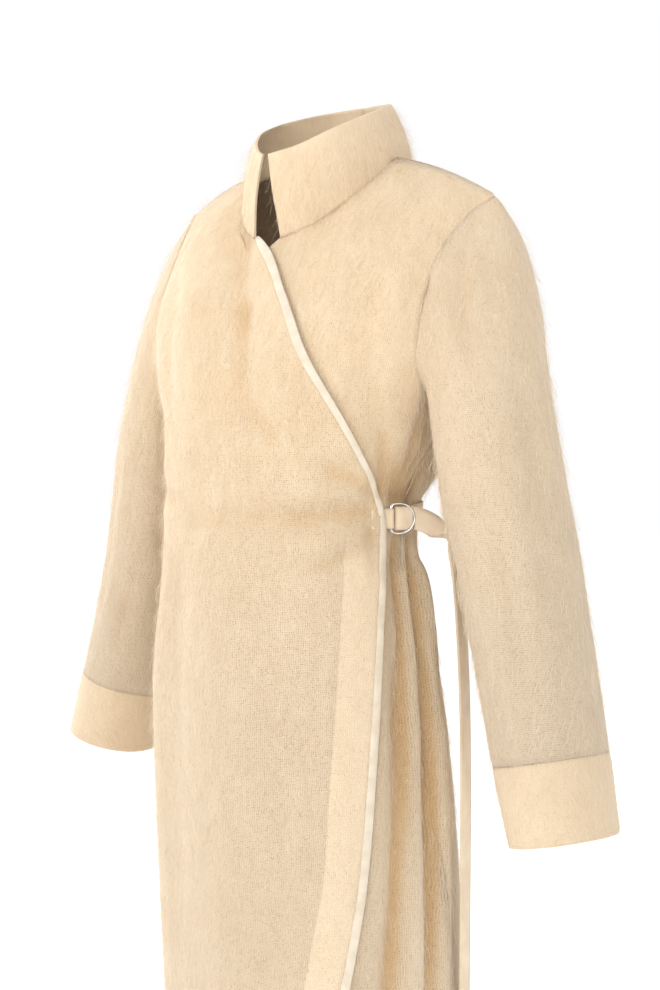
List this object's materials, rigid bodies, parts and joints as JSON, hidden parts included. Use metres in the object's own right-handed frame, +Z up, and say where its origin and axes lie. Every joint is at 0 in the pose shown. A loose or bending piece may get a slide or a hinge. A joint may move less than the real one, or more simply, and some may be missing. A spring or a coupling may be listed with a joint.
{
  "type": "wrap coat",
  "caption": "Long-sleeved mohair wrap coat with a stand collar, bound front edge and deep cuffs, worn closed and tied at the side with a strap through two D-rings.",
  "frame": {"origin": "midway between the high points of the shoulders, where the wearer carries the coat", "axes": "+Z up, the wearer faces -Y, +X towards the wearer's left"},
  "size_m": [0.7282, 0.3087, 1.1742],
  "materials": {
    "mohair": "brushed mohair, open plain weave",
    "mohair_double": "two layers of brushed mohair",
    "binding": "smooth wool braid",
    "strap": "felted wool",
    "wire": "polished"
  },
  "bodies": {
    "root": {"right_front": "mohair", "left_front": "mohair", "back": "mohair", "left_sleeve": "mohair", "right_sleeve": "mohair", "collar": "mohair_double", "left_cuff": "mohair_double", "right_cuff": "mohair_double", "right_front_facing": "mohair_double", "front_binding": "binding", "belt": "strap", "ring_tab": "strap", "d_ring_inner": "wire", "d_ring_outer": "wire"}
  },
  "joints": []
}
